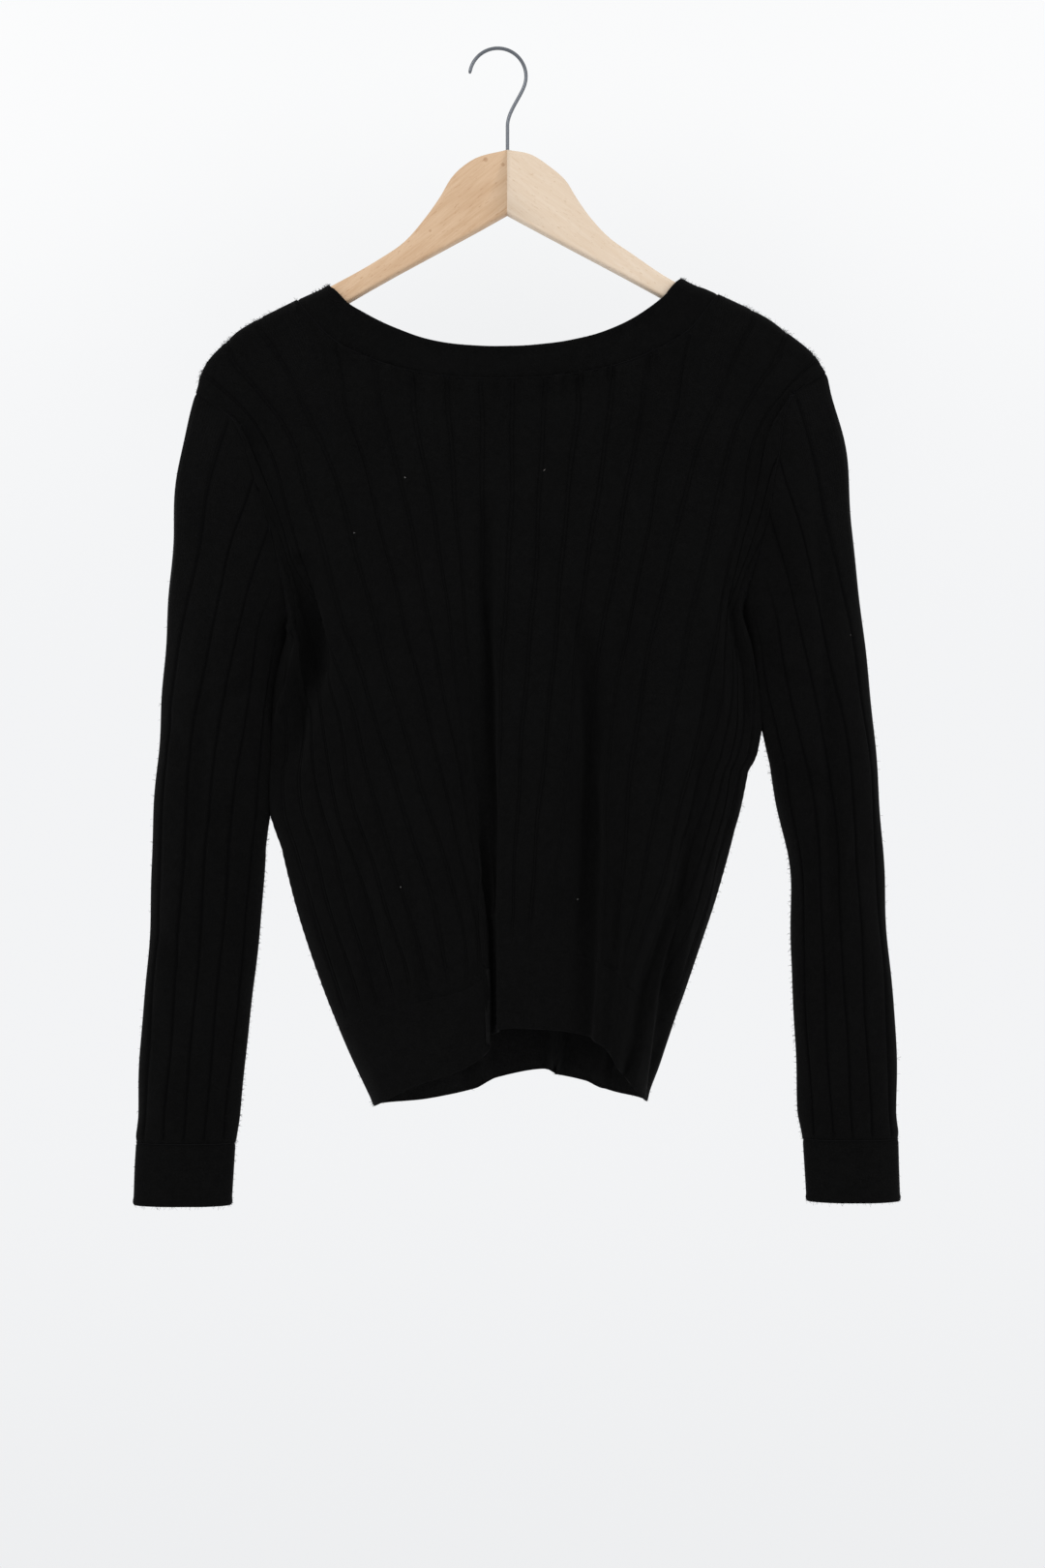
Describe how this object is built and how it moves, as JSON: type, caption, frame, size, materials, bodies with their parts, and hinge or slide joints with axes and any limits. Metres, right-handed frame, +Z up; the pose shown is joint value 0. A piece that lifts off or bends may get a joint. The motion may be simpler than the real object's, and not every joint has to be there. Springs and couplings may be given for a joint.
{
  "type": "sweater on a hanger",
  "caption": "Wide-ribbed scoop-neck pullover with plain knit bands, hanging in soft folds on a flat wooden hanger with a wire hook.",
  "frame": {"origin": "inner top of the hook's crook, where the hanger is held", "axes": "+Z up along the hang, -Y towards the sweater's front, +X to the viewer's right when facing the front"},
  "size_m": [0.5466, 0.0799, 0.8253],
  "materials": {
    "black_knit": "matt knitted wool with a light nap",
    "warm_wood": "satin",
    "pale_wood": "satin",
    "steel_wire": "bright drawn wire"
  },
  "bodies": {
    "root": {"front_panel": "black_knit", "back_panel": "black_knit", "hem_band": "black_knit", "neckband": "black_knit", "sleeve_left": "black_knit", "sleeve_right": "black_knit", "cuff_left": "black_knit", "cuff_right": "black_knit", "hanger_left": "warm_wood", "hanger_right": "pale_wood", "hanger_hook": "steel_wire"}
  },
  "joints": []
}
